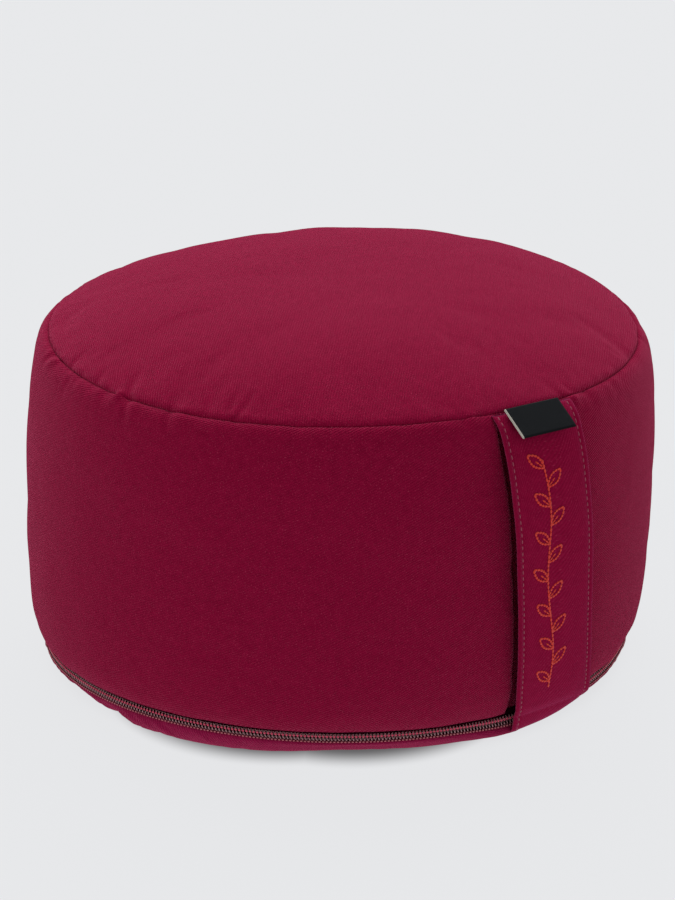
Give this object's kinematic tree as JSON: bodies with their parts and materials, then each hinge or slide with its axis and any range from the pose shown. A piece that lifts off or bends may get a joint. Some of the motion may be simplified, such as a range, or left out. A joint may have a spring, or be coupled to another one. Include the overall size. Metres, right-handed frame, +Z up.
{
  "type": "zafu meditation cushion",
  "caption": "Round drum-shaped meditation cushion with a crowned top, a zip round its foot, a carry handle down its side and a small folded tab.",
  "frame": {"origin": "middle of the flat base, on the surface that the cushion stands on", "axes": "+Z up; the carry handle is on the side that faces -Y; +X to the right of someone who looks at the handle"},
  "size_m": [0.3021, 0.3077, 0.1853],
  "materials": {
    "cover_twill": "fine burgundy cotton twill, matt with a soft pale sheen at grazing angles",
    "handle_twill": "the same burgundy twill, folded and topstitched along both edges in rose thread",
    "zip_coil": "dark burgundy nylon coils on woven tape, slightly glossy",
    "zip_metal": "dark painted slider and pull",
    "tab_ribbon": "black woven ribbon with one pale selvedge, left bare"
  },
  "bodies": {
    "root": {"cushion": "cover_twill", "zip": "zip_coil", "zip_slider": "zip_metal", "handle": "handle_twill", "label": "tab_ribbon"}
  },
  "joints": []
}
